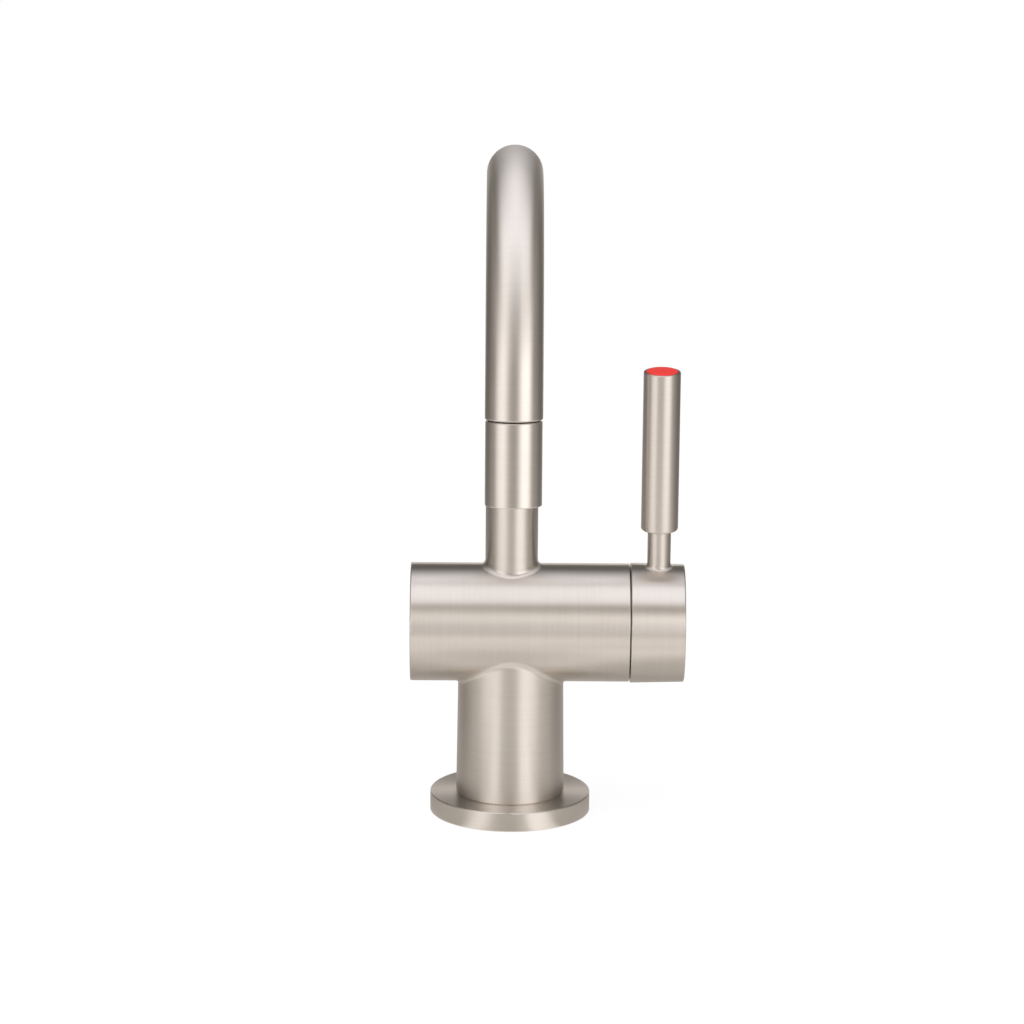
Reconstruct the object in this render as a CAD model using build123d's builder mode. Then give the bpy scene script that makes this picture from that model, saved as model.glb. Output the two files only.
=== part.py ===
# Instant hot water faucet: a column with a crossing barrel, a gooseneck spout that swivels
# and a quarter-turn lever on the barrel's right end.
# Frame: +Z up, origin on the deck plane at the column's axis, the spout towards -Y, the lever at +X.
from build123d import *
from math import cos, radians, sin
import os

# Clearances
running_clearance = 0.05
fit_clearance = 0.05
tube_clearance = 0.03
turning_gap = 0.3

# Deck flange and its gasket
flange_radius = 27.0
flange_height = 6.5
flange_edge = 0.35
flange_bore_clearance = 0.2
gasket_outer_radius = 24.0
gasket_width = 4.0
gasket_thickness = 1.6

# Body casting: column, barrel and neck
column_foot_radius = 18.25
column_top_radius = 17.5
column_bore_radius = 15.0
column_ceiling = 44.0
column_foot_edge = 0.3
column_fillet = 1.3
barrel_height = 65.5
barrel_radius = 19.9
barrel_left = 33.8
barrel_right = 39.65
barrel_edge = 0.5
barrel_mouth_edge = 0.3
neck_radius = 8.8
neck_height = 110.0
neck_fillet = 2.0

# Chambers and waterways in the body
chamber_radius = 13.0
mouth_radius = 15.0
seat_x = 6.0
left_chamber_floor = -12.0
waterway_radius = 2.2
port_offset = 5.5
port_drilling_x = 1.5
hot_drilling_x = -5.5
tube_radius = 3.17
tube_socket_depth = 5.0

# Mount insert in the column's foot
insert_height = 14.0
stud_wall = 1.55
stud_thread_radius = 3.4
stud_thread_depth = 12.0
hose_thread_radius = 3.5
hose_thread_depth = 9.0
insert_socket_depth = 3.0

# Cartridge
seal_thickness = 1.5
seal_wall = 1.3
disc_radius = 9.5
fixed_disc_thickness = 3.0
disc_film = 0.05
disc_lug_width = 4.0
disc_lug_reach = 11.0
moving_disc_inset = 0.3
moving_disc_thickness = 3.5
channel_width = 5.0
channel_depth = 1.5
channel_turn = 90.0
drive_width = 3.9
drive_depth = 1.3
driver_thickness = 3.5
housing_length = 18.5
housing_groove_inset = 6.5
spindle_radius = 5.0
spindle_groove_inset = 4.0
spindle_flat = 4.2
spindle_end_clearance = 0.5

# Round seals: section radius and the depth of their grooves
large_seal_section = 0.85
small_seal_section = 0.6
seal_slack = 0.1
hex_sides = 6

# Bonnet nut and glide ring
bonnet_recess = 3.65
bonnet_bore_clearance = 1.0
bonnet_hex_flats = 17.0
bonnet_hex_depth = 5.0
glide_recess = 0.4
glide_width = 2.5

# Handle hub with its post
hub_gap = 0.35
hub_length = 18.1
hub_back_step = 0.3
hub_front_step = 0.1
hub_back_edge = 0.3
hub_front_edge = 0.5
hub_wall = 3.2
hub_pocket_floor = 5.0
hub_bore_end_wall = 4.0
post_radius = 3.9
post_fillet = 1.3
post_length = 45.0
post_inset = 8.75
lever_lean = 3.5
set_screw_radius = 2.5
set_screw_length = 9.0
set_screw_socket = 2.5

# Lever grip and index cap
grip_radius = 6.2
grip_bottom = 32.95
grip_top = 87.6
grip_top_edge = 0.4
grip_bottom_edge = 0.8
grip_bore_extra = 0.6
cap_rim = 0.95
cap_thickness = 1.3
cap_edge = 0.25
cap_proud = 0.3
cap_spigot_radius = 1.6
cap_spigot_length = 4.0

# Left end plug
end_plug_length = 7.0
end_plug_edge = 0.3
end_plug_groove = 3.5

# Spout tube
spout_radius = 8.9
spout_wall = 1.2
spout_arc_height = 166.25
spout_arc_radius = 61.0
spout_arc_angle = 174.5
spout_tail = 9.85
spout_lip = 0.6
spout_foot_edge = 0.3

# Swivel connector in the neck
swivel_gap = 1.0
connector_depth = 22.0
connector_radius = 6.0
connector_bore_radius = 2.6
connector_collar_length = 10.0
nipple_radius = 3.3
nipple_length = 12.0
swivel_seal_low = 3.0
swivel_seal_high = 17.0
screw_groove_rise = 10.0
screw_groove_width = 3.6
spout_screw_radius = 1.5
washer_thickness = 0.7
washer_inset = 0.35

# Inner waterway
hose_wall = 1.25
hose_bore_clearance = 0.05

# Nozzle
nozzle_radius = 8.75
nozzle_gap = 0.4
nozzle_length = 26.0
nozzle_top_edge = 0.3
nozzle_lip_edge = 0.35
nozzle_spigot_length = 8.0
nozzle_hose_depth = 2.5
nozzle_throat_radius = 3.4
nozzle_throat_length = 12.0
nozzle_mouth_radius = 6.5
nozzle_shoulder = 0.6
outlet_insert_inset = 2.0
outlet_insert_thickness = 3.0
outlet_hole_radius = 0.9
outlet_ring_radius = 3.9
outlet_ring_count = 6

# Grooves for the round seals
large_groove = (large_seal_section + seal_slack) * 2
small_groove = (small_seal_section + seal_slack) * 2

# Flange, mount insert and the column's tubes, from the sizes above
gasket_inner_radius = gasket_outer_radius - gasket_width
insert_radius = column_bore_radius - fit_clearance
stud_x = insert_radius - stud_wall - stud_thread_radius
tube_socket_radius = tube_radius + tube_clearance
tube_bottom = insert_height - insert_socket_depth
tube_top = column_ceiling + tube_socket_depth
cold_place = (port_drilling_x, -port_offset)
feed_place = (port_drilling_x, port_offset)
hot_place = (hot_drilling_x, 0)
hose_places = [cold_place, feed_place, hot_place]

# Cartridge and bonnet nut, along the barrel from the body's seat to the mouth
housing_x = seat_x + seal_thickness
fixed_disc_end = housing_x + fixed_disc_thickness
moving_disc_x = fixed_disc_end + disc_film
moving_disc_end = moving_disc_x + moving_disc_thickness
moving_disc_radius = disc_radius - moving_disc_inset
driver_x = moving_disc_end + disc_film
driver_end = driver_x + driver_thickness
housing_end = housing_x + housing_length
housing_groove_x = housing_x + housing_groove_inset
spindle_groove_x = housing_end - spindle_groove_inset
shaft_bore_radius = spindle_radius + running_clearance
bonnet_end = barrel_right - bonnet_recess
bonnet_length = bonnet_end - housing_end
bonnet_bore_radius = spindle_radius + bonnet_bore_clearance
glide_end = barrel_right - glide_recess

# Handle hub, lever and cap
hub_x = barrel_right + hub_gap
hub_end = hub_x + hub_length
hub_back_radius = barrel_radius + hub_back_step
hub_front_radius = barrel_radius - hub_front_step
hub_boss_x = bonnet_end + glide_recess
hub_boss_radius = mouth_radius - glide_width
hub_bore_end = hub_end - hub_bore_end_wall
spindle_end = hub_bore_end - spindle_end_clearance
lever_x = hub_end - post_inset
cap_radius = grip_radius - cap_rim
cap_seat_depth = cap_thickness - cap_proud

# Swivel connector and inner waterway
connector_foot = neck_height - connector_depth
neck_bore_floor = connector_foot - turning_gap
neck_bore_radius = connector_radius + running_clearance
swivel_groove_radius = connector_radius - small_seal_section * 2
screw_groove_height = connector_foot + screw_groove_rise
spout_foot = neck_height + swivel_gap
spout_bore_radius = spout_radius - spout_wall
collar_radius = spout_bore_radius - fit_clearance
nipple_foot = spout_foot + connector_collar_length
hose_foot = nipple_foot + turning_gap
hose_bore_radius = nipple_radius + hose_bore_clearance
hose_outer_radius = hose_bore_radius + hose_wall

# Nozzle and outlet insert, measured along the nozzle from the end of the bend
nozzle_top = spout_tail + nozzle_gap
nozzle_end = nozzle_top + nozzle_length
nozzle_spigot_top = nozzle_top - nozzle_spigot_length
nozzle_hose_end = nozzle_top + nozzle_hose_depth
nozzle_throat_end = nozzle_hose_end + nozzle_throat_length
outlet_bottom = nozzle_end - outlet_insert_inset
outlet_top = outlet_bottom - outlet_insert_thickness

barrel_line = Axis((0, 0, barrel_height), (1, 0, 0))


def across(x):
    """The plane square to the barrel's axis at x, with its local Y up."""
    return Plane(origin=(x, 0, barrel_height), x_dir=(0, 1, 0), z_dir=(1, 0, 0))


lever_direction = Vector(0, -sin(radians(lever_lean)), cos(radians(lever_lean)))
lever_plane = Plane(origin=(lever_x, 0, barrel_height), x_dir=(1, 0, 0), z_dir=lever_direction)

# The spout's centre line: the riser, the bend and a short straight tail
with BuildLine(Plane.YZ) as spout_line:
    riser = Line((0, spout_foot), (0, spout_arc_height))
    bend = JernArc(start=riser @ 1, tangent=riser % 1, radius=spout_arc_radius, arc_size=spout_arc_angle)
    Line(bend @ 1, bend @ 1 + (bend % 1) * spout_tail)
spout_path = spout_line.wire()
spout_end_direction = spout_path % 1
arc_end = (spout_path @ 1) - spout_end_direction * spout_tail


def along_nozzle(distance):
    """The plane square to the nozzle's axis, this far past the end of the bend."""
    return Plane(origin=arc_end + spout_end_direction * distance, x_dir=(1, 0, 0), z_dir=spout_end_direction)


def save(piece, name):
    """Label a finished piece and write its file."""
    piece.part.label = name
    export_step(piece.part, f"parts/{name}.step")


os.makedirs("parts", exist_ok=True)

# Deck flange: a disc with a groove for the gasket and a hole for the mount insert
with BuildPart() as base_flange:
    with BuildSketch(Plane.XY):
        Circle(flange_radius)
        Circle(column_bore_radius + flange_bore_clearance, mode=Mode.SUBTRACT)
    extrude(amount=flange_height)
    round_edges = base_flange.edges().filter_by(GeomType.CIRCLE)
    rim_edges = round_edges.filter_by(lambda e: e.radius > column_foot_radius)
    fillet(rim_edges.sort_by(Axis.Z)[-1], radius=flange_edge)
    with BuildSketch(Plane.XY):
        Circle(gasket_outer_radius)
        Circle(gasket_inner_radius, mode=Mode.SUBTRACT)
    extrude(amount=gasket_thickness, mode=Mode.SUBTRACT)
save(base_flange, "base_flange")

# Base gasket, flush with the flange's underside
with BuildPart() as base_gasket:
    with BuildSketch(Plane.XY):
        Circle(gasket_outer_radius - fit_clearance)
        Circle(gasket_inner_radius + fit_clearance, mode=Mode.SUBTRACT)
    extrude(amount=gasket_thickness)
save(base_gasket, "base_gasket")

# Body casting
with BuildPart() as faucet_body:
    with BuildSketch(Plane.XZ):
        with BuildLine():
            Polyline(
                (0, flange_height),
                (column_foot_radius, flange_height),
                (column_top_radius, barrel_height),
                (0, barrel_height),
                close=True,
            )
        make_face()
    revolve(axis=Axis.Z)
    chamfer(faucet_body.edges().filter_by(GeomType.CIRCLE).sort_by(Axis.Z)[0], length=column_foot_edge)
    with BuildSketch(across(-barrel_left)):
        Circle(barrel_radius)
    extrude(amount=barrel_left + barrel_right)
    crotch = faucet_body.edges().filter_by(lambda e: e.geom_type not in (GeomType.CIRCLE, GeomType.LINE))
    fillet(crotch, radius=column_fillet)
    with BuildSketch(Plane.XY.offset(barrel_height)):
        Circle(neck_radius)
    extrude(amount=neck_height - barrel_height)
    neck_seam = faucet_body.edges().filter_by(
        lambda e: e.geom_type not in (GeomType.CIRCLE, GeomType.LINE) and e.center().Z > barrel_height
    )
    fillet(neck_seam, radius=neck_fillet)
    end_edges = faucet_body.edges().filter_by(GeomType.CIRCLE).sort_by(Axis.X)
    fillet(end_edges[0], radius=barrel_edge)
    end_edges = faucet_body.edges().filter_by(GeomType.CIRCLE).sort_by(Axis.X)
    fillet(end_edges[-1], radius=barrel_mouth_edge)
    # The column is hollow below its ceiling
    with BuildSketch(Plane.XY.offset(flange_height)):
        Circle(column_bore_radius)
    extrude(amount=column_ceiling - flange_height, mode=Mode.SUBTRACT)
    with BuildSketch(Plane.XY.offset(column_ceiling)):
        with Locations(*hose_places):
            Circle(tube_socket_radius)
    extrude(amount=tube_socket_depth, mode=Mode.SUBTRACT)
    # The valve's chamber and its wider mouth on the right, the spare chamber on the left
    with BuildSketch(across(seat_x)):
        Circle(chamber_radius)
    extrude(amount=barrel_right - seat_x, mode=Mode.SUBTRACT)
    with BuildSketch(across(housing_end)):
        Circle(mouth_radius)
    extrude(amount=barrel_right - housing_end, mode=Mode.SUBTRACT)
    with BuildSketch(across(left_chamber_floor)):
        Circle(chamber_radius)
    extrude(amount=-(barrel_left + left_chamber_floor), mode=Mode.SUBTRACT)
    # Drillings from the tubes up to the valve's two ports
    with BuildSketch(Plane.XY.offset(tube_top)):
        with Locations(cold_place, feed_place):
            Circle(waterway_radius)
    extrude(amount=barrel_height - tube_top, mode=Mode.SUBTRACT)
    with BuildSketch(across(seat_x)):
        with Locations((-port_offset, 0), (port_offset, 0)):
            Circle(waterway_radius)
    extrude(amount=-(seat_x - port_drilling_x), mode=Mode.SUBTRACT)
    # The neck's bore and the hot water's drilling that feeds it
    with BuildSketch(Plane.XY.offset(neck_height)):
        Circle(neck_bore_radius)
    extrude(amount=-(neck_height - neck_bore_floor), mode=Mode.SUBTRACT)
    with BuildSketch(Plane.XY.offset(tube_top)):
        with Locations(hot_place):
            Circle(waterway_radius)
    extrude(amount=neck_bore_floor - tube_top + waterway_radius, mode=Mode.SUBTRACT)
    # The hole for the spout's set screw, at the back of the neck
    with BuildSketch(Plane.XZ.offset(-neck_radius)):
        with Locations((0, screw_groove_height)):
            Circle(spout_screw_radius)
    extrude(amount=neck_radius - swivel_groove_radius, mode=Mode.SUBTRACT)
save(faucet_body, "faucet_body")

# Mount insert with the stud's thread and the three hose threads
with BuildPart() as mount_insert:
    with BuildSketch(Plane.XY):
        Circle(insert_radius)
    extrude(amount=insert_height)
    with BuildSketch(Plane.XY):
        with Locations((stud_x, 0)):
            Circle(stud_thread_radius)
    extrude(amount=stud_thread_depth, mode=Mode.SUBTRACT)
    with BuildSketch(Plane.XY):
        with Locations(*hose_places):
            Circle(hose_thread_radius)
    extrude(amount=hose_thread_depth, mode=Mode.SUBTRACT)
    with BuildSketch(Plane.XY):
        with Locations(*hose_places):
            Circle(waterway_radius)
    extrude(amount=insert_height, mode=Mode.SUBTRACT)
    with BuildSketch(Plane.XY.offset(tube_bottom)):
        with Locations(*hose_places):
            Circle(tube_socket_radius)
    extrude(amount=insert_socket_depth, mode=Mode.SUBTRACT)
save(mount_insert, "mount_insert")

# The three tubes in the column, all alike
for tube_name, tube_place in (
    ("cold_supply_tube", cold_place),
    ("tank_feed_tube", feed_place),
    ("hot_return_tube", hot_place),
):
    with BuildPart() as column_tube:
        with BuildSketch(Plane.XY.offset(tube_bottom)):
            with Locations(tube_place):
                Circle(tube_radius)
                Circle(waterway_radius, mode=Mode.SUBTRACT)
        extrude(amount=tube_top - tube_bottom)
    save(column_tube, tube_name)

# Port seals: one ring round each port, between the body's seat and the fixed disc
with BuildPart() as port_seals:
    with BuildSketch(across(seat_x)):
        with Locations((-port_offset, 0), (port_offset, 0)):
            Circle(waterway_radius + seal_wall)
        with Locations((-port_offset, 0), (port_offset, 0)):
            Circle(waterway_radius, mode=Mode.SUBTRACT)
    extrude(amount=seal_thickness)
save(port_seals, "port_seals")

# Fixed disc: two ports, and two lugs that keep it from turning
with BuildPart() as fixed_disc:
    with BuildSketch(across(housing_x)):
        Circle(disc_radius)
        Rectangle(disc_lug_width, disc_lug_reach * 2)
        with Locations((-port_offset, 0), (port_offset, 0)):
            Circle(waterway_radius, mode=Mode.SUBTRACT)
    extrude(amount=fixed_disc_thickness)
save(fixed_disc, "fixed_disc")

# Moving disc: the blind channel lies upright, across the ports, while the valve is shut
with BuildPart() as moving_disc:
    with BuildSketch(across(moving_disc_x)):
        Circle(moving_disc_radius)
    extrude(amount=moving_disc_thickness)
    with BuildSketch(across(moving_disc_x)):
        SlotOverall((port_offset + waterway_radius) * 2, channel_width, rotation=channel_turn)
    extrude(amount=channel_depth, mode=Mode.SUBTRACT)
    with BuildSketch(across(moving_disc_end)):
        Rectangle(drive_width + fit_clearance * 2, moving_disc_radius * 2)
    extrude(amount=-(drive_depth + fit_clearance), mode=Mode.SUBTRACT)
save(moving_disc, "moving_disc")

# Valve housing: a cup over the discs with the spindle's bearing in its end
with BuildPart() as valve_housing:
    with BuildSketch(across(housing_x)):
        Circle(chamber_radius - fit_clearance)
    extrude(amount=housing_length)
    with BuildSketch(across(housing_x)):
        Circle(disc_radius + fit_clearance)
    extrude(amount=driver_end + turning_gap - housing_x, mode=Mode.SUBTRACT)
    with BuildSketch(across(housing_x)):
        Rectangle(disc_lug_width + fit_clearance * 2, (disc_lug_reach + fit_clearance) * 2)
    extrude(amount=fixed_disc_thickness, mode=Mode.SUBTRACT)
    with BuildSketch(across(housing_x)):
        Circle(shaft_bore_radius)
    extrude(amount=housing_length, mode=Mode.SUBTRACT)
    with BuildSketch(across(housing_groove_x)):
        Circle(chamber_radius)
        Circle(chamber_radius - large_groove, mode=Mode.SUBTRACT)
    extrude(amount=large_groove, mode=Mode.SUBTRACT)
save(valve_housing, "valve_housing")


def ring_seal(plane, reach, section):
    """A round seal whose outside is at this reach from the plane's axis."""
    with BuildPart() as ring:
        with BuildSketch(Plane(origin=plane.origin, x_dir=plane.x_dir, z_dir=plane.y_dir)):
            with Locations((reach - section, 0)):
                Circle(section)
        revolve(axis=Axis(plane.origin, plane.z_dir))
    return ring


housing_o_ring = ring_seal(
    across(housing_groove_x + large_groove / 2), chamber_radius - fit_clearance, large_seal_section
)
save(housing_o_ring, "housing_o_ring")

# Spindle: the driver's tongue, the shaft with its groove, and the flat for the set screw
with BuildPart() as spindle:
    with BuildSketch(across(driver_x)):
        Circle(moving_disc_radius)
    extrude(amount=driver_thickness)
    with BuildSketch(across(driver_x)):
        Rectangle(drive_width, moving_disc_radius * 2)
        Circle(moving_disc_radius, mode=Mode.INTERSECT)
    extrude(amount=-drive_depth)
    with BuildSketch(across(driver_end)):
        Circle(spindle_radius)
    extrude(amount=spindle_end - driver_end)
    with BuildSketch(across(spindle_groove_x)):
        Circle(spindle_radius)
        Circle(spindle_radius - small_groove, mode=Mode.SUBTRACT)
    extrude(amount=small_groove, mode=Mode.SUBTRACT)
    with BuildSketch(across(hub_x)):
        with Locations((spindle_flat, 0)):
            Rectangle(spindle_radius, spindle_radius * 2, align=(Align.MIN, Align.CENTER))
    extrude(amount=spindle_end - hub_x, mode=Mode.SUBTRACT)
save(spindle, "spindle")

spindle_o_ring = ring_seal(across(spindle_groove_x + small_groove / 2), spindle_radius, small_seal_section)
save(spindle_o_ring, "spindle_o_ring")

# Bonnet nut, screwed into the barrel's mouth against the valve housing
with BuildPart() as bonnet_nut:
    with BuildSketch(across(housing_end)):
        Circle(mouth_radius - fit_clearance)
        Circle(bonnet_bore_radius, mode=Mode.SUBTRACT)
    extrude(amount=bonnet_length)
    with BuildSketch(across(bonnet_end)):
        RegularPolygon(bonnet_hex_flats / 2, hex_sides, major_radius=False)
    extrude(amount=-bonnet_hex_depth, mode=Mode.SUBTRACT)
save(bonnet_nut, "bonnet_nut")

# Glide ring that guides the hub's boss in the barrel's mouth
with BuildPart() as glide_ring:
    with BuildSketch(across(bonnet_end)):
        Circle(mouth_radius - fit_clearance)
        Circle(hub_boss_radius + running_clearance, mode=Mode.SUBTRACT)
    extrude(amount=glide_end - bonnet_end)
save(glide_ring, "glide_ring")

# Handle hub: a drum with a boss behind it and the post that carries the grip
with BuildPart() as handle_hub:
    with BuildSketch(Plane.XZ):
        with BuildLine():
            Polyline(
                (hub_x, barrel_height),
                (hub_x, barrel_height + hub_back_radius),
                (hub_end, barrel_height + hub_front_radius),
                (hub_end, barrel_height),
                close=True,
            )
        make_face()
    revolve(axis=barrel_line)
    with BuildSketch(lever_plane):
        Circle(post_radius)
    extrude(amount=post_length)
    post_seam = handle_hub.edges().filter_by(lambda e: e.geom_type not in (GeomType.CIRCLE, GeomType.LINE))
    fillet(post_seam, radius=post_fillet)
    drum_edges = handle_hub.edges().filter_by(GeomType.CIRCLE).filter_by(lambda e: e.radius > hub_boss_radius)
    fillet(drum_edges.sort_by(Axis.X)[0], radius=hub_back_edge)
    fillet(handle_hub.edges().filter_by(GeomType.CIRCLE).sort_by(Axis.X)[-1], radius=hub_front_edge)
    # The pocket that lightens the drum, round its boss
    with BuildSketch(across(hub_x)):
        Circle(hub_front_radius - hub_wall)
        Circle(hub_boss_radius, mode=Mode.SUBTRACT)
    extrude(amount=hub_length - hub_pocket_floor, mode=Mode.SUBTRACT)
    with BuildSketch(across(hub_boss_x)):
        Circle(hub_boss_radius)
    extrude(amount=hub_x - hub_boss_x)
    # The bore for the spindle, with its flat
    with BuildSketch(across(hub_boss_x)):
        Circle(spindle_radius + fit_clearance)
    extrude(amount=hub_x - hub_boss_x, mode=Mode.SUBTRACT)
    with BuildSketch(across(hub_x)):
        Circle(spindle_radius + fit_clearance)
        with Locations((spindle_flat + fit_clearance, 0)):
            Rectangle(
                spindle_radius, spindle_radius * 2, align=(Align.MIN, Align.CENTER), mode=Mode.SUBTRACT
            )
    extrude(amount=hub_bore_end - hub_x, mode=Mode.SUBTRACT)
    # The set screw's hole, from the back of the drum to the flat
    with BuildSketch(Plane.XZ.offset(-hub_back_radius)):
        with Locations((lever_x, barrel_height)):
            Circle(set_screw_radius)
    extrude(amount=hub_back_radius - spindle_flat, mode=Mode.SUBTRACT)
save(handle_hub, "handle_hub")


def grub_screw(tip_y, x, height, radius, length, socket):
    """A headless screw along +Y with its tip at tip_y and a hex socket in its outer end."""
    with BuildPart() as screw:
        with BuildSketch(Plane.XZ.offset(-tip_y)):
            with Locations((x, height)):
                Circle(radius - tube_clearance)
        extrude(amount=-length)
        with BuildSketch(Plane.XZ.offset(-(tip_y + length))):
            with Locations((x, height)):
                RegularPolygon(socket / 2, hex_sides, major_radius=False)
        extrude(amount=socket, mode=Mode.SUBTRACT)
    return screw


hub_set_screw = grub_screw(
    spindle_flat, lever_x, barrel_height, set_screw_radius, set_screw_length, set_screw_socket
)
save(hub_set_screw, "hub_set_screw")

# Lever grip: a round bar over the post, with a seat for the cap in its top
with BuildPart() as lever_grip:
    with BuildSketch(lever_plane.offset(grip_bottom)):
        Circle(grip_radius)
    extrude(amount=grip_top - grip_bottom)
    grip_ends = lever_grip.edges().filter_by(GeomType.CIRCLE).sort_by(Axis.Z)
    fillet(grip_ends[0], radius=grip_bottom_edge)
    fillet(lever_grip.edges().filter_by(GeomType.CIRCLE).sort_by(Axis.Z)[-1], radius=grip_top_edge)
    with BuildSketch(lever_plane.offset(grip_bottom)):
        Circle(post_radius + fit_clearance)
    extrude(amount=post_length - grip_bottom + grip_bore_extra, mode=Mode.SUBTRACT)
    with BuildSketch(lever_plane.offset(grip_top)):
        Circle(cap_radius + tube_clearance)
    extrude(amount=-cap_seat_depth, mode=Mode.SUBTRACT)
    with BuildSketch(lever_plane.offset(grip_top)):
        Circle(cap_spigot_radius + tube_clearance)
    extrude(amount=-(cap_seat_depth + cap_spigot_length + turning_gap), mode=Mode.SUBTRACT)
save(lever_grip, "lever_grip")

# Index cap with its spigot, standing a little proud of the grip
with BuildPart() as index_cap:
    with BuildSketch(lever_plane.offset(grip_top + cap_proud)):
        Circle(cap_radius)
    extrude(amount=-cap_thickness)
    fillet(index_cap.edges().filter_by(GeomType.CIRCLE).sort_by(Axis.Z)[-1], radius=cap_edge)
    with BuildSketch(lever_plane.offset(grip_top - cap_seat_depth)):
        Circle(cap_spigot_radius)
    extrude(amount=-cap_spigot_length)
save(index_cap, "index_cap")

# End plug in the barrel's left end, flush with it
with BuildPart() as end_plug:
    with BuildSketch(across(-barrel_left)):
        Circle(chamber_radius - fit_clearance)
    extrude(amount=end_plug_length)
    chamfer(end_plug.edges().filter_by(GeomType.CIRCLE).sort_by(Axis.X)[0], length=end_plug_edge)
    with BuildSketch(across(end_plug_groove - barrel_left)):
        Circle(chamber_radius)
        Circle(chamber_radius - large_groove, mode=Mode.SUBTRACT)
    extrude(amount=large_groove, mode=Mode.SUBTRACT)
save(end_plug, "end_plug")

end_plug_o_ring = ring_seal(
    across(end_plug_groove - barrel_left + large_groove / 2),
    chamber_radius - fit_clearance,
    large_seal_section,
)
save(end_plug_o_ring, "end_plug_o_ring")

# Spout tube, bent from one length of tube
with BuildPart() as spout_tube:
    with BuildSketch(Plane.XY.offset(spout_foot)):
        Circle(spout_radius)
        Circle(spout_bore_radius, mode=Mode.SUBTRACT)
    sweep(path=spout_path)
    tube_ends = spout_tube.edges().filter_by(GeomType.CIRCLE).filter_by(
        lambda e: abs(e.radius - spout_radius) < fit_clearance
    )
    fillet(tube_ends.sort_by_distance(spout_path @ 1)[0], radius=spout_lip)
    outer_edges = spout_tube.edges().filter_by(GeomType.CIRCLE).filter_by(
        lambda e: e.radius > spout_bore_radius + fit_clearance
    )
    fillet(outer_edges.sort_by(Axis.Z)[0], radius=spout_foot_edge)
save(spout_tube, "spout_tube")

# Swivel connector: a hollow turned piece, half in the neck and half in the spout tube
with BuildPart() as swivel_connector:
    with BuildSketch(Plane.XY.offset(connector_foot)):
        Circle(connector_radius)
    extrude(amount=spout_foot - connector_foot)
    with BuildSketch(Plane.XY.offset(spout_foot)):
        Circle(collar_radius)
    extrude(amount=connector_collar_length)
    with BuildSketch(Plane.XY.offset(nipple_foot)):
        Circle(nipple_radius)
    extrude(amount=nipple_length)
    with BuildSketch(Plane.XY.offset(connector_foot)):
        Circle(connector_bore_radius)
    extrude(amount=nipple_foot + nipple_length - connector_foot, mode=Mode.SUBTRACT)
    for rise in (swivel_seal_low, swivel_seal_high):
        with BuildSketch(Plane.XY.offset(connector_foot + rise)):
            Circle(connector_radius)
            Circle(swivel_groove_radius, mode=Mode.SUBTRACT)
        extrude(amount=small_groove, mode=Mode.SUBTRACT)
    with BuildSketch(Plane.XY.offset(screw_groove_height - screw_groove_width / 2)):
        Circle(connector_radius)
        Circle(swivel_groove_radius, mode=Mode.SUBTRACT)
    extrude(amount=screw_groove_width, mode=Mode.SUBTRACT)
save(swivel_connector, "swivel_connector")

# The connector's two O-rings, as one group
with BuildPart() as swivel_o_rings:
    for rise in (swivel_seal_low, swivel_seal_high):
        with BuildSketch(Plane.XZ):
            with Locations((connector_radius - small_seal_section, connector_foot + rise + small_groove / 2)):
                Circle(small_seal_section)
        revolve(axis=Axis.Z)
save(swivel_o_rings, "swivel_o_rings")

# Swivel washer on the neck's top
with BuildPart() as swivel_washer:
    with BuildSketch(Plane.XY.offset(neck_height)):
        Circle(neck_radius - washer_inset)
        Circle(connector_radius + turning_gap, mode=Mode.SUBTRACT)
    extrude(amount=washer_thickness)
save(swivel_washer, "swivel_washer")

# Set screw at the back of the neck, its tip in the connector's groove
spout_set_screw = grub_screw(
    swivel_groove_radius + turning_gap,
    0,
    screw_groove_height,
    spout_screw_radius,
    neck_radius - swivel_groove_radius - turning_gap * 2,
    spout_screw_radius,
)
save(spout_set_screw, "spout_set_screw")

# Inner waterway: a soft tube from the connector's nipple to the nozzle
with BuildLine(Plane.YZ) as hose_line:
    hose_riser = Line((0, hose_foot), (0, spout_arc_height))
    hose_bend = JernArc(
        start=hose_riser @ 1, tangent=hose_riser % 1, radius=spout_arc_radius, arc_size=spout_arc_angle
    )
    Line(hose_bend @ 1, hose_bend @ 1 + (hose_bend % 1) * nozzle_hose_end)
with BuildPart() as inner_waterway:
    with BuildSketch(Plane.XY.offset(hose_foot)):
        Circle(hose_outer_radius)
        Circle(hose_bore_radius, mode=Mode.SUBTRACT)
    sweep(path=hose_line.wire())
save(inner_waterway, "inner_waterway")

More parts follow.
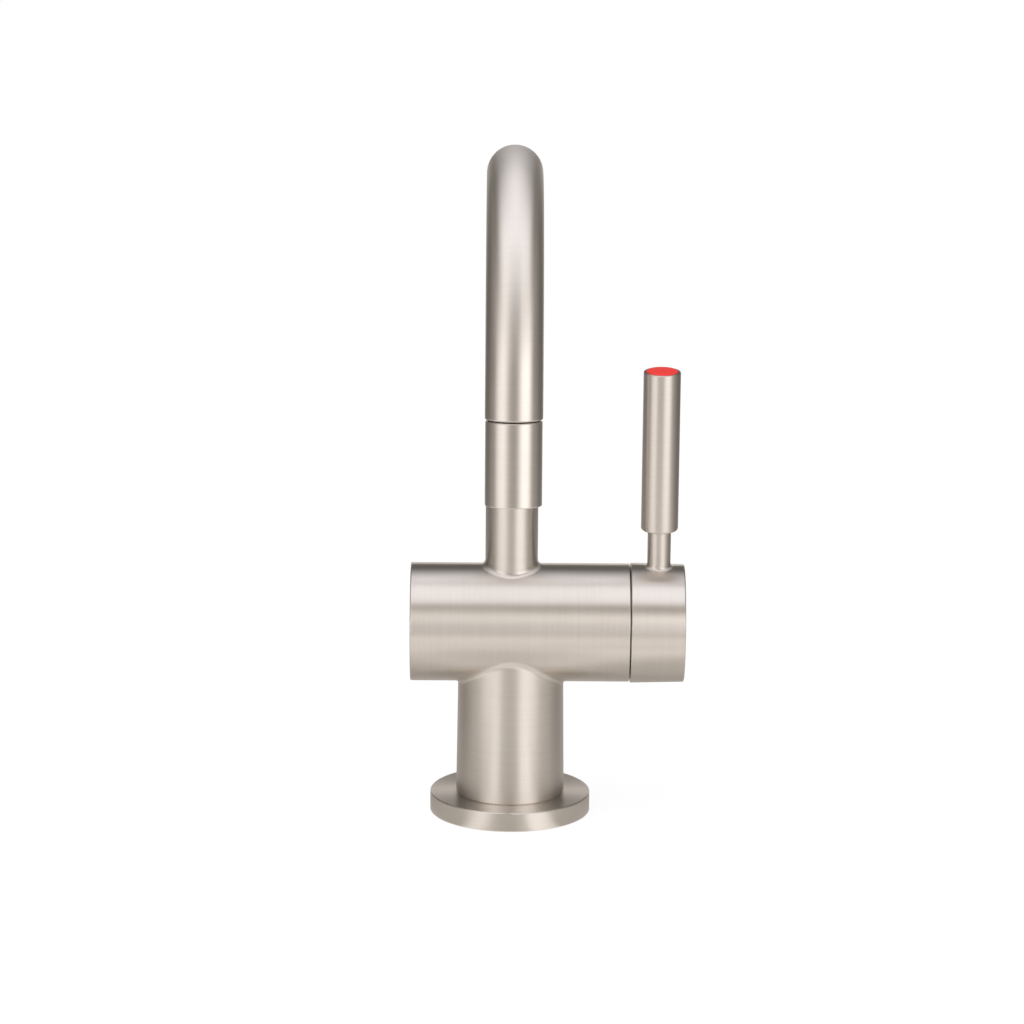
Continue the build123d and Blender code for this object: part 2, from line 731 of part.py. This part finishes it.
# Nozzle sleeve: its spigot sits in the tube, its mouth holds the outlet insert
with BuildPart() as nozzle_sleeve:
    with BuildSketch(along_nozzle(nozzle_top)):
        Circle(nozzle_radius)
    extrude(amount=nozzle_end - nozzle_top)
    nozzle_ends = nozzle_sleeve.edges().filter_by(GeomType.CIRCLE).sort_by(Axis.Z)
    fillet(nozzle_ends[0], radius=nozzle_lip_edge)
    chamfer(nozzle_sleeve.edges().filter_by(GeomType.CIRCLE).sort_by(Axis.Z)[-1], length=nozzle_top_edge)
    with BuildSketch(along_nozzle(nozzle_spigot_top)):
        Circle(collar_radius)
    extrude(amount=nozzle_top - nozzle_spigot_top)
    with BuildSketch(along_nozzle(nozzle_spigot_top)):
        Circle(hose_outer_radius + fit_clearance)
    extrude(amount=nozzle_hose_end - nozzle_spigot_top, mode=Mode.SUBTRACT)
    with BuildSketch(along_nozzle(nozzle_hose_end)):
        Circle(nozzle_throat_radius)
    extrude(amount=nozzle_throat_end - nozzle_hose_end, mode=Mode.SUBTRACT)
    with BuildSketch(along_nozzle(nozzle_throat_end)):
        Circle(nozzle_mouth_radius - nozzle_shoulder)
    extrude(amount=outlet_top - nozzle_throat_end, mode=Mode.SUBTRACT)
    with BuildSketch(along_nozzle(outlet_top)):
        Circle(nozzle_mouth_radius)
    extrude(amount=nozzle_end - outlet_top, mode=Mode.SUBTRACT)
save(nozzle_sleeve, "nozzle_sleeve")

# Nozzle O-ring, in the groove between the tube and the sleeve
nozzle_o_ring = ring_seal(
    along_nozzle(spout_tail + nozzle_gap / 2), collar_radius + nozzle_gap, nozzle_gap / 2 - tube_clearance
)
save(nozzle_o_ring, "nozzle_o_ring")

# Outlet insert: a disc with a ring of holes round a middle one
with BuildPart() as outlet_insert:
    with BuildSketch(along_nozzle(outlet_top)):
        Circle(nozzle_mouth_radius - fit_clearance)
        Circle(outlet_hole_radius, mode=Mode.SUBTRACT)
        with PolarLocations(outlet_ring_radius, outlet_ring_count):
            Circle(outlet_hole_radius, mode=Mode.SUBTRACT)
    extrude(amount=outlet_insert_thickness)
save(outlet_insert, "outlet_insert")
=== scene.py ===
# Looks of the instant hot water faucet: satin nickel, a red cap and soft studio light.
# Lengths are in metres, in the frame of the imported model: +Z up, the spout towards -Y.
# The scale of a grain is in 1 / metre, and colours are red, green, blue and alpha.
import math

import bmesh
import bpy
from mathutils import Matrix, Vector


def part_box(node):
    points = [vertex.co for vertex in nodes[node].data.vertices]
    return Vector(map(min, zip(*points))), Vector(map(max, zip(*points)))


# Camera: its distance, the direction that it stands in and its roll, in degrees, the point that
# it looks at, and its lens and sensor in millimetres
CAMERA_DISTANCE = 1.458
CAMERA_ELEVATION = 13.66
CAMERA_AZIMUTH = -0.18
CAMERA_ROLL = 0.445
CAMERA_TARGET = (0.0, 0.0, 0.1035)
CAMERA_LENS = 153.2
CAMERA_SENSOR = 36.0

# The axes that the finishing lines run round
ORIGIN = (0.0, 0.0, 0.0)
UP = (0.0, 0.0, 1.0)
BARREL_DIRECTION = (1.0, 0.0, 0.0)
SCREW_DIRECTION = (0.0, 1.0, 0.0)
LEVER_LEAN = math.radians(3.5)
LEVER_DIRECTION = (0.0, -math.sin(LEVER_LEAN), math.cos(LEVER_LEAN))
NOZZLE_LEAN = math.radians(5.5)
NOZZLE_DIRECTION = (0.0, math.sin(NOZZLE_LEAN), math.cos(NOZZLE_LEAN))
SPOUT_ARC_RADIUS = 0.061

# Where a stem leaves its drum, the lines change over within this distance
SKIN = 0.0016

# The noise values at which a surface has its deep and its light colour
TONE_DEEP = 0.30
TONE_LIGHT = 0.70

# Satin nickel: its two tones, its finish, and how far its roughness wanders
NICKEL_LIGHT = (0.792, 0.743, 0.691, 1.0)
NICKEL_DEEP = (0.758, 0.707, 0.651, 1.0)
NICKEL_ROUGHNESS = 0.34
NICKEL_ANISOTROPY = 0.87
NICKEL_WEAR = 0.06

# Lines in the nickel: their fine, broad and cloudy grain, the share of fine and broad in the tone,
# how far they stray in a turn, and the strength and depth of their relief
FINE_GRAIN = 3200.0
BROAD_GRAIN = 900.0
CLOUD_GRAIN = 80.0
TONE_SHARE = 0.5
LINE_STRAY = 0.0006
LINE_STRENGTH = 0.08
LINE_DEPTH = 0.00002

# Across the spout's tube, about 1 / its radius
ACROSS_TUBE = 100.0

# Inner metals: their light and deep colour and their roughness
BRASS = dict(light=(0.80, 0.62, 0.30, 1.0), deep=(0.70, 0.51, 0.22, 1.0), roughness=0.26)
COPPER = dict(light=(0.86, 0.52, 0.36, 1.0), deep=(0.74, 0.40, 0.25, 1.0), roughness=0.30)
SCREW_STEEL = dict(light=(0.50, 0.50, 0.50, 1.0), deep=(0.38, 0.38, 0.38, 1.0), roughness=0.32)

# Cutting marks on the inner metals, and the clouds in their colour
MARK_GRAIN = 1500.0
MARK_STRENGTH = 0.20
MARK_DEPTH = 0.00003
MARK_WEAR = 0.10
METAL_CLOUD_GRAIN = 140.0

# Moulded and fired pieces: their colours and roughness, and the grain and depth of their speckle
RUBBER = dict(
    light=(0.030, 0.030, 0.031, 1.0),
    deep=(0.018, 0.018, 0.019, 1.0),
    roughness=0.55,
    grain=1500.0,
    depth=0.00003,
)
ACETAL = dict(
    light=(0.80, 0.80, 0.78, 1.0),
    deep=(0.74, 0.74, 0.72, 1.0),
    roughness=0.38,
    grain=1200.0,
    depth=0.00002,
)
SILICONE = dict(
    light=(0.80, 0.80, 0.77, 1.0),
    deep=(0.72, 0.72, 0.69, 1.0),
    roughness=0.42,
    grain=900.0,
    depth=0.00002,
)
CERAMIC = dict(
    light=(0.86, 0.85, 0.82, 1.0),
    deep=(0.82, 0.81, 0.78, 1.0),
    roughness=0.10,
    grain=2500.0,
    depth=0.000004,
)
SPECKLE_STRENGTH = 0.25
SPECKLE_WEAR = 0.08
MOULDED_CLOUD_GRAIN = 120.0

# Red cap: its colour, how sharply its dome bends, in 1 / metre, and its roughness
CAP_RED = (0.96, 0.036, 0.030, 1.0)
CAP_DOME = 12.0
CAP_ROUGHNESS = 0.30

# Floor: grey to the light, and to the rays that see the background mostly a white glow. The
# glow takes this share of what they see, and the grey keeps the shadow in the rest.
FLOOR_HALF = 3.0
FLOOR_GREY = (0.8, 0.8, 0.8, 1.0)
FLOOR_WHITE_LEVEL = 1.06
FLOOR_GLOW = 0.86

# World: the level at which it lights the object, and the level at which it is seen
WHITE = (1.0, 1.0, 1.0, 1.0)
WORLD_LEVEL = 0.75
WORLD_WHITE_LEVEL = 1.0

# Tent that only reflections see: its size, the height of its flat foot, the height that its
# panels are seen from, and its light between the panels
TENT_RADIUS = 0.65
TENT_SIDES = 64
TENT_FOOT = 0.0002
TENT_EYE = 0.10
TENT_LEVEL = 0.13
HALF_TURN = 180.0

# Tint of the tent: where it is dim, where it is bright, and high up, with the light at which the
# first gives way to the second, and the elevation, in degrees, at which the last takes over
TINT_DIM = (1.0, 0.945, 0.88, 1.0)
TINT_BRIGHT = (1.0, 0.98, 0.98, 1.0)
TINT_HIGH = (0.99, 0.985, 1.03, 1.0)
TINT_LEVELS = (0.5, 1.5)
TINT_ELEVATIONS = (35.0, 55.0)

# Panels of light in the tent, in degrees as seen from the object: their azimuth from the front,
# more to the right, half their width and the fade of their sides; their lowest and highest
# elevation and the fade there; and how bright. Where panels overlap, their light adds up.
PANELS = {
    "mat": dict(azimuth=0, half=110, fade=40, low=-100, high=-26, blend=23, light=0.42),
    "far_mat": dict(azimuth=0, half=90, fade=30, low=-40, high=-8, blend=18, light=0.58),
    "left_mat": dict(azimuth=-28, half=8, fade=7, low=-100, high=-40, blend=3, light=0.40),
    "right_mat": dict(azimuth=27, half=11, fade=4, low=-100, high=-43, blend=3, light=0.45),
    "left_box": dict(azimuth=-43, half=20, fade=13, low=-11, high=11, blend=6, light=1.05),
    "right_box": dict(azimuth=38, half=20, fade=14, low=-7, high=20, blend=10, light=1.90),
    "wall": dict(azimuth=0, half=90, fade=40, low=13, high=33, blend=9, light=0.48),
    "left_wall": dict(azimuth=-36, half=18, fade=17, low=4, high=49, blend=5, light=0.65),
    "right_wall": dict(azimuth=45, half=23, fade=5, low=32, high=49, blend=2, light=0.45),
    "ceiling": dict(azimuth=0, half=96, fade=28, low=46, high=120, blend=9, light=1.20),
    "rear_ceiling": dict(azimuth=180, half=70, fade=30, low=58, high=120, blend=24, light=1.15),
    "rear_mat": dict(azimuth=180, half=58, fade=35, low=-100, high=-12, blend=8, light=0.35),
    "back": dict(azimuth=180, half=30, fade=12, low=-8, high=11, blend=4, light=0.65),
}

# Lamp above: its power in watts, its width and its place
LAMP_POWER = 10.0
LAMP_SIZE = 1.2
LAMP_PLACE = (-0.25, -0.45, 1.5)

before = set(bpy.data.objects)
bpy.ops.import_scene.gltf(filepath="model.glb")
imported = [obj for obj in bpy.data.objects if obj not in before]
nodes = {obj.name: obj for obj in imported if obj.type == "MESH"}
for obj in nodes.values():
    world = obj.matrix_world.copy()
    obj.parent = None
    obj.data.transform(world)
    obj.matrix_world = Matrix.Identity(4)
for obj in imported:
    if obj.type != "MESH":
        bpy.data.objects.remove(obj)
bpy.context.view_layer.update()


def middle(name):
    """The centre of the box round a node."""
    low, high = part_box(name)
    return (low + high) / 2


def link_object(name, data):
    """A new object in the scene, with this data."""
    thing = bpy.data.objects.new(name, data)
    bpy.context.scene.collection.objects.link(thing)
    return thing


def make_camera():
    """A long lens from the photograph's direction."""
    azimuth = math.radians(CAMERA_AZIMUTH)
    elevation = math.radians(CAMERA_ELEVATION)
    roll = math.radians(CAMERA_ROLL)
    level = math.cos(elevation)
    back = Vector((math.sin(azimuth) * level, -math.cos(azimuth) * level, math.sin(elevation)))
    right = Vector(UP).cross(back).normalized()
    up = back.cross(right)
    across = right * math.cos(roll) + up * math.sin(roll)
    along = up * math.cos(roll) - right * math.sin(roll)
    data = bpy.data.cameras.new("camera")
    data.lens = CAMERA_LENS
    data.sensor_width = CAMERA_SENSOR
    camera = link_object("camera", data)
    turn = Matrix((across, along, back)).transposed().to_4x4()
    camera.matrix_world = Matrix.Translation(Vector(CAMERA_TARGET) + back * CAMERA_DISTANCE) @ turn
    bpy.context.scene.camera = camera


class Graph:
    """A node tree with short ways to add nodes and join them."""

    def __init__(self, tree):
        self.tree = tree
        tree.nodes.clear()

    def add(self, kind, inputs=None, **settings):
        """A node with these settings, and with values or links in its named inputs."""
        node = self.tree.nodes.new(kind)
        for name, value in settings.items():
            setattr(node, name, value)
        for name, value in (inputs or {}).items():
            self.put(node.inputs[name], value)
        return node

    def put(self, socket, value):
        """Join a socket to a node's output, or give it a plain value."""
        if isinstance(value, bpy.types.NodeSocket):
            self.tree.links.new(value, socket)
        else:
            socket.default_value = value

    def math(self, operation, *values):
        return self.add("ShaderNodeMath", dict(enumerate(values)), operation=operation).outputs[0]

    def add_shares(self, share, a, b):
        """The sum of the same share of two values."""
        return self.math("ADD", self.math("MULTIPLY", a, share), self.math("MULTIPLY", b, share))

    def vector(self, operation, *values):
        node = self.add("ShaderNodeVectorMath", dict(enumerate(values)), operation=operation)
        return node.outputs["Value" if operation in ("DOT_PRODUCT", "LENGTH") else "Vector"]

    def scale(self, vector, factor):
        node = self.add("ShaderNodeVectorMath", {0: vector, "Scale": factor}, operation="SCALE")
        return node.outputs["Vector"]

    def join(self, x, y, z):
        return self.add("ShaderNodeCombineXYZ", {0: x, 1: y, 2: z}).outputs[0]

    def split(self, vector):
        return self.add("ShaderNodeSeparateXYZ", {0: vector}).outputs

    def smooth(self, value, low, high, to_low=0.0, to_high=1.0):
        """A smooth step between two values."""
        inputs = {
            "Value": value,
            "From Min": low,
            "From Max": high,
            "To Min": to_low,
            "To Max": to_high,
        }
        node = self.add("ShaderNodeMapRange", inputs, interpolation_type="SMOOTHSTEP")
        return node.outputs["Result"]

    def mix_vector(self, factor, a, b):
        return self.add("ShaderNodeMix", {0: factor, 4: a, 5: b}, data_type="VECTOR").outputs[1]

    def mix_number(self, factor, a, b):
        return self.add("ShaderNodeMix", {0: factor, 2: a, 3: b}, data_type="FLOAT").outputs[0]

    def mix_colour(self, factor, a, b):
        return self.add("ShaderNodeMix", {0: factor, 6: a, 7: b}, data_type="RGBA").outputs[2]

    def mix_tones(self, noise, deep, light):
        """A colour that runs from deep to light with a noise."""
        return self.mix_colour(self.smooth(noise, TONE_DEEP, TONE_LIGHT), deep, light)

    def noise(self, vector, scale, detail=2.0, roughness=0.5):
        inputs = {"Vector": vector, "Scale": scale, "Detail": detail, "Roughness": roughness}
        return self.add("ShaderNodeTexNoise", inputs).outputs["Fac"]

    def relief(self, height, strength, depth):
        """The normal of a surface with this height laid on it."""
        inputs = {"Strength": strength, "Distance": depth, "Height": height}
        return self.add("ShaderNodeBump", inputs).outputs["Normal"]

    def place(self):
        """The point of the piece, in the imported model's frame."""
        return self.add("ShaderNodeTexCoord").outputs["Object"]

    def surface(self, shader):
        self.add("ShaderNodeOutputMaterial", {"Surface": shader.outputs[0]})

    def principled(self, inputs):
        """End the tree in a Principled shader with these inputs."""
        self.surface(self.add("ShaderNodeBsdfPrincipled", inputs))


def new_material(name):
    """A material, and the graph of its empty node tree."""
    material = bpy.data.materials.new(name)
    material.use_nodes = True
    return material, Graph(material.node_tree)


# Metals


def round_axis(g, point, axis):
    """How far the surface lies along an axis and out from it, and the way outward."""
    offset = g.vector("SUBTRACT", g.place(), tuple(point))
    along = g.vector("DOT_PRODUCT", offset, axis)
    outward = g.vector("SUBTRACT", offset, g.scale(axis, along))
    reach = g.vector("LENGTH", outward)
    return along, reach, g.vector("NORMALIZE", outward)


def nickel_surface(g, along, reach, outward, tangent):
    """Satin nickel whose fine lines run round an axis, square to the tangent."""
    ring = g.vector("ADD", g.join(along, reach, 0.0), g.scale(outward, LINE_STRAY))
    fine = g.noise(ring, FINE_GRAIN, detail=3.0, roughness=0.65)
    broad = g.noise(ring, BROAD_GRAIN)
    cloud = g.noise(g.place(), CLOUD_GRAIN, detail=3.0)
    tone = g.add_shares(TONE_SHARE, fine, broad)
    wear = g.add_shares(NICKEL_WEAR, tone, cloud)
    turned = g.add(
        "ShaderNodeVectorTransform",
        {0: tangent},
        vector_type="VECTOR",
        convert_from="OBJECT",
        convert_to="WORLD",
    )
    g.principled({
        "Metallic": 1.0,
        "Anisotropic": NICKEL_ANISOTROPY,
        "Base Color": g.mix_tones(tone, NICKEL_DEEP, NICKEL_LIGHT),
        "Roughness": g.math("ADD", wear, NICKEL_ROUGHNESS - NICKEL_WEAR),
        "Normal": g.relief(fine, LINE_STRENGTH, LINE_DEPTH),
        "Tangent": turned.outputs[0],
    })


def turned_nickel(name, point, axis):
    """A nickel piece turned about one axis."""
    material, g = new_material(name)
    along, reach, outward = round_axis(g, point, axis)
    nickel_surface(g, along, reach, outward, g.vector("ADD", outward, axis))
    return material


def crossed_nickel(name, drum_point, drum_radius, stem_point, stem_axis):
    """A nickel drum along the barrel's axis with stems across it, each finished round its own axis."""
    material, g = new_material(name)
    drum_along, drum_reach, drum_outward = round_axis(g, drum_point, BARREL_DIRECTION)
    stem_along, stem_reach, stem_outward = round_axis(g, stem_point, stem_axis)
    stem = g.smooth(drum_reach, drum_radius, drum_radius + SKIN)
    nickel_surface(
        g,
        g.mix_number(stem, drum_along, stem_along),
        g.mix_number(stem, drum_reach, stem_reach),
        g.mix_vector(stem, drum_outward, stem_outward),
        g.mix_vector(
            stem,
            g.vector("ADD", drum_outward, BARREL_DIRECTION),
            g.vector("ADD", stem_outward, stem_axis),
        ),
    )
    return material


def bent_nickel(name, arc_centre):
    """A nickel tube with a straight riser and a bend, finished round its own line."""
    material, g = new_material(name)
    x, y, z = g.split(g.vector("SUBTRACT", g.place(), tuple(arc_centre)))
    bent = g.math("GREATER_THAN", z, 0.0)
    swing = g.math("MULTIPLY", g.math("ARCTAN2", z, y), SPOUT_ARC_RADIUS)
    along = g.mix_number(bent, z, swing)
    square_on = g.vector("NORMALIZE", g.join(0.0, g.math("MULTIPLY", z, -1.0), y))
    sideways = g.join(g.math("MULTIPLY", x, ACROSS_TUBE), 0.0, 0.0)
    nickel_surface(g, along, 0.0, sideways, g.mix_vector(bent, UP, square_on))
    return material


def plain_metal(name, point, axis, light, deep, roughness):
    """An inner metal piece with cutting marks round its axis."""
    material, g = new_material(name)
    along, reach, _ = round_axis(g, point, axis)
    marks = g.noise(g.join(along, reach, 0.0), MARK_GRAIN)
    cloud = g.noise(g.place(), METAL_CLOUD_GRAIN, detail=3.0)
    g.principled({
        "Metallic": 1.0,
        "Base Color": g.mix_tones(cloud, deep, light),
        "Roughness": g.math("ADD", g.math("MULTIPLY", marks, MARK_WEAR), roughness),
        "Normal": g.relief(marks, MARK_STRENGTH, MARK_DEPTH),
    })
    return material


# Plastics, rubber and ceramic


def moulded(name, light, deep, roughness, grain, depth):
    """A moulded or fired piece with a fine grain and a slightly uneven colour."""
    material, g = new_material(name)
    speckle = g.noise(g.place(), grain, detail=4.0, roughness=0.6)
    cloud = g.noise(g.place(), MOULDED_CLOUD_GRAIN)
    g.principled({
        "Base Color": g.mix_tones(cloud, deep, light),
        "Roughness": g.math("ADD", g.math("MULTIPLY", speckle, SPECKLE_WEAR), roughness),
        "Normal": g.relief(speckle, SPECKLE_STRENGTH, depth),
    })
    return material


def red_cap(lever):
    """Glossy red plastic whose face is shaded as a shallow dome."""
    material, g = new_material("red_cap")
    _, reach, _ = round_axis(g, lever, LEVER_DIRECTION)
    dome = g.math("MULTIPLY", g.math("MULTIPLY", reach, reach), -CAP_DOME)
    g.principled({
        "Base Color": CAP_RED,
        "Roughness": CAP_ROUGHNESS,
        "Normal": g.relief(dome, strength=1.0, depth=1.0),
    })
    return material


def dress(material, *names):
    """Give one finish to these nodes."""
    for name in names:
        for slot in nodes[name].material_slots:
            slot.material = material


def dress_shown_metal():
    """Satin nickel on each piece that shows, with its lines round that piece's own axis."""
    base = middle("base_flange")
    barrel = middle("bonnet_nut")
    lever = Vector((middle("hub_set_screw").x, barrel.y, barrel.z))
    dress(turned_nickel("nickel_flange", base, UP), "base_flange")
    dress(turned_nickel("nickel_end_plug", barrel, BARREL_DIRECTION), "end_plug")
    body_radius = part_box("faucet_body")[1].y
    dress(crossed_nickel("nickel_body", barrel, body_radius, base, UP), "faucet_body")
    hub_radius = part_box("handle_hub")[1].y
    dress(crossed_nickel("nickel_hub", barrel, hub_radius, lever, LEVER_DIRECTION), "handle_hub")
    dress(turned_nickel("nickel_grip", lever, LEVER_DIRECTION), "lever_grip")
    dress(turned_nickel("nickel_nozzle", middle("outlet_insert"), NOZZLE_DIRECTION), "nozzle_sleeve")
    spout_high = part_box("spout_tube")[1]
    arc_centre = Vector((0.0, -SPOUT_ARC_RADIUS, spout_high.z - spout_high.x - SPOUT_ARC_RADIUS))
    dress(bent_nickel("nickel_spout", arc_centre), "spout_tube")
    return barrel, lever


def dress_inner_pieces(barrel, lever):
    """Brass, copper, steel, rubber, plastic and ceramic inside, and the red cap."""
    brass_upright = plain_metal("brass_upright", ORIGIN, UP, **BRASS)
    dress(brass_upright, "mount_insert", "swivel_connector")
    brass_across = plain_metal("brass_across", barrel, BARREL_DIRECTION, **BRASS)
    dress(brass_across, "valve_housing", "spindle", "bonnet_nut")
    copper = plain_metal("copper", ORIGIN, UP, **COPPER)
    dress(copper, "cold_supply_tube", "tank_feed_tube", "hot_return_tube")
    steel = plain_metal("screw_steel", barrel, SCREW_DIRECTION, **SCREW_STEEL)
    dress(steel, "hub_set_screw", "spout_set_screw")
    dress(
        moulded("rubber", **RUBBER),
        "base_gasket",
        "end_plug_o_ring",
        "port_seals",
        "housing_o_ring",
        "spindle_o_ring",
        "swivel_o_rings",
        "nozzle_o_ring",
    )
    dress(moulded("acetal", **ACETAL), "glide_ring", "swivel_washer", "outlet_insert")
    dress(moulded("silicone", **SILICONE), "inner_waterway")
    dress(moulded("ceramic", **CERAMIC), "fixed_disc", "moving_disc")
    dress(red_cap(lever), "index_cap")


# Studio


def shows_background(g):
    """One for the rays that see the plain white surround: camera, glossy and transmission."""
    path = g.add("ShaderNodeLightPath").outputs
    direct = g.math("MAXIMUM", path["Is Camera Ray"], path["Is Glossy Ray"])
    return g.math("MAXIMUM", direct, path["Is Transmission Ray"])


def make_world():
    """A surround that looks white and lights the object at a lower level."""
    world = bpy.data.worlds.new("studio")
    world.use_nodes = True
    bpy.context.scene.world = world
    g = Graph(world.node_tree)
    strength = g.mix_number(shows_background(g), WORLD_LEVEL, WORLD_WHITE_LEVEL)
    background = g.add("ShaderNodeBackground", {"Color": WHITE, "Strength": strength})
    g.add("ShaderNodeOutputWorld", {"Surface": background.outputs[0]})


def make_floor():
    """A pale floor that looks white and keeps the object's soft shadow."""
    mesh = bpy.data.meshes.new("floor")
    half = FLOOR_HALF
    corners = [(-half, -half, 0), (half, -half, 0), (half, half, 0), (-half, half, 0)]
    mesh.from_pydata(corners, [], [(0, 1, 2, 3)])
    floor = link_object("floor", mesh)
    material, g = new_material("floor")
    diffuse = g.add("ShaderNodeBsdfDiffuse", {"Color": FLOOR_GREY})
    glow = g.add("ShaderNodeEmission", {"Strength": FLOOR_WHITE_LEVEL})
    factor = g.math("MULTIPLY", shows_background(g), FLOOR_GLOW)
    g.surface(g.add("ShaderNodeMixShader", {0: factor, 1: diffuse.outputs[0], 2: glow.outputs[0]}))
    mesh.materials.append(material)


def panel_light(g, turn, rise, azimuth, half, fade, low, high, blend, light):
    """A soft-edged panel: its light within its width and height, and none beyond."""
    past = g.math("WRAP", g.math("SUBTRACT", turn, azimuth), HALF_TURN, -HALF_TURN)
    across = g.smooth(g.math("ABSOLUTE", past), half - fade, half + fade, light, 0.0)
    above = g.smooth(rise, low - blend, low + blend)
    below = g.smooth(rise, high - blend, high + blend, 1.0, 0.0)
    return g.math("MULTIPLY", across, g.math("MULTIPLY", above, below))


def tent_material():
    """The tent's light: each of its panels, tinted by its level and by its elevation."""
    material, g = new_material("tent")
    x, y, z = g.split(g.place())
    turn = g.math("DEGREES", g.math("ARCTAN2", x, g.math("MULTIPLY", y, -1.0)))
    reach = g.vector("LENGTH", g.join(x, y, 0.0))
    rise = g.math("DEGREES", g.math("ARCTAN2", g.math("SUBTRACT", z, TENT_EYE), reach))
    level = TENT_LEVEL
    for panel in PANELS.values():
        level = g.math("ADD", level, panel_light(g, turn, rise, **panel))
    tint = g.mix_colour(g.smooth(level, *TINT_LEVELS), TINT_DIM, TINT_BRIGHT)
    tint = g.mix_colour(g.smooth(rise, *TINT_ELEVATIONS), tint, TINT_HIGH)
    g.surface(g.add("ShaderNodeEmission", {"Color": tint, "Strength": level}))
    return material


def make_tent():
    """A dome with a flat foot that only reflections see."""
    mesh = bpy.data.meshes.new("tent")
    shell = bmesh.new()
    bmesh.ops.create_uvsphere(
        shell, u_segments=TENT_SIDES, v_segments=TENT_SIDES, radius=TENT_RADIUS
    )
    for vert in shell.verts:
        vert.co.z = max(vert.co.z, TENT_FOOT)
    shell.to_mesh(mesh)
    shell.free()
    tent = link_object("tent", mesh)
    tent.visible_camera = False
    tent.visible_diffuse = False
    tent.visible_shadow = False
    tent.visible_transmission = False
    mesh.materials.append(tent_material())


def make_lamp():
    """A large soft lamp above, which gives the floor its shadow."""
    data = bpy.data.lights.new("overhead", "AREA")
    data.size = LAMP_SIZE
    data.energy = LAMP_POWER
    lamp = link_object("overhead", data)
    lamp.location = LAMP_PLACE
    lamp.rotation_euler = (-Vector(LAMP_PLACE)).to_track_quat("-Z", "Y").to_euler()
    lamp.visible_glossy = False


make_camera()
dress_inner_pieces(*dress_shown_metal())
make_world()
make_floor()
make_tent()
make_lamp()
bpy.context.scene.view_settings.view_transform = "Standard"
